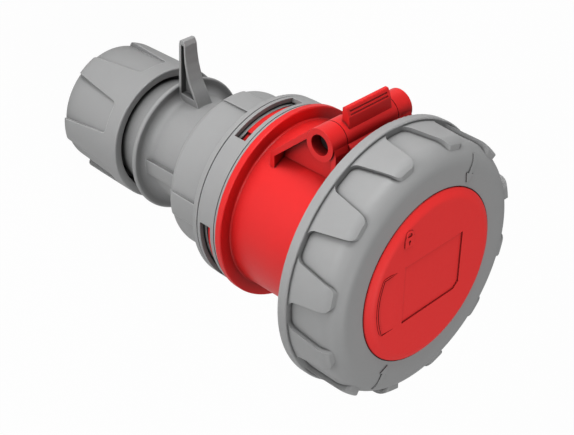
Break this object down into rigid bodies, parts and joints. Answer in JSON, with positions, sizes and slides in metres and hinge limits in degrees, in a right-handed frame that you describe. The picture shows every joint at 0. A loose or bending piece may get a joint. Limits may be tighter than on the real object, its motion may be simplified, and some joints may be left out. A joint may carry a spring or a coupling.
{
  "type": "industrial inline socket",
  "caption": "Industrial inline power socket with cable gland, two-part housing, sprung hinged lid and a bayonet ring that turns on the lid.",
  "frame": {"origin": "centre of the rear end face of the gland nut, on the long axis", "axes": "+Z along the long axis towards the lid, +Y towards the lid hinge, +X to the right seen from the lid with the hinge up"},
  "size_m": [0.1052, 0.1119, 0.1801],
  "materials": {
    "grey_plastic": "satin moulded",
    "red_plastic": "satin moulded",
    "dark_plastic": "satin moulded",
    "seal_rubber": "matt",
    "contact_brass": "turned",
    "plain_steel": "zinc plated"
  },
  "bodies": {
    "housing": {"rear_housing": "grey_plastic", "front_housing": "red_plastic", "housing_seal": "seal_rubber", "contact_carrier": "dark_plastic", "carrier_cover": "dark_plastic", "carrier_screws": "plain_steel", "terminal_screws": "plain_steel", "contact_l1": "contact_brass", "contact_l2": "contact_brass", "contact_l3": "contact_brass", "contact_n": "contact_brass", "contact_pe": "contact_brass", "gland_basket": "dark_plastic", "gland_seal": "seal_rubber", "hinge_pin": "plain_steel", "hinge_pin_clip": "plain_steel", "hinge_spring": "plain_steel"},
    "washer": {"gland_washer": "dark_plastic"},
    "nut": {"gland_nut": "grey_plastic"},
    "lock_ring": {"lock_ring": "grey_plastic"},
    "lid": {"lid_body": "red_plastic", "lid_cap": "red_plastic", "lid_screws": "plain_steel", "lid_gasket": "seal_rubber"},
    "ring": {"bayonet_ring": "grey_plastic"}
  },
  "joints": [
    {"name": "lid_hinge", "type": "hinge", "parent": "housing", "child": "lid", "pos_m": [0, 0.0477, 0.1432], "axis": [-1, 0, 0], "range_deg": [0, 105], "stiffness_Nm_per_rad": 0.05, "springref_deg": -85.94},
    {"name": "ring_turn", "type": "hinge", "parent": "lid", "child": "ring", "pos_m": [0, 0, 0.1777], "axis": [0, 0, -1], "range_deg": [0, 38]},
    {"name": "lock_ring_turn", "type": "hinge", "parent": "housing", "child": "lock_ring", "pos_m": [0, 0, 0.103], "axis": [0, 0, 1], "range_deg": [0, 25]},
    {"name": "nut_advance", "type": "slide", "parent": "housing", "child": "washer", "axis": [0, 0, -1], "range_m": [0, 0.004]},
    {"name": "nut_turn", "type": "hinge", "parent": "washer", "child": "nut", "pos_m": [0, 0, 0.02], "axis": [0, 0, -1], "range_deg": [0, 360]}
  ],
  "couplings": [
    {"joint": "nut_advance", "follows": "nut_turn", "m_per_rad": 0.00063662}
  ]
}
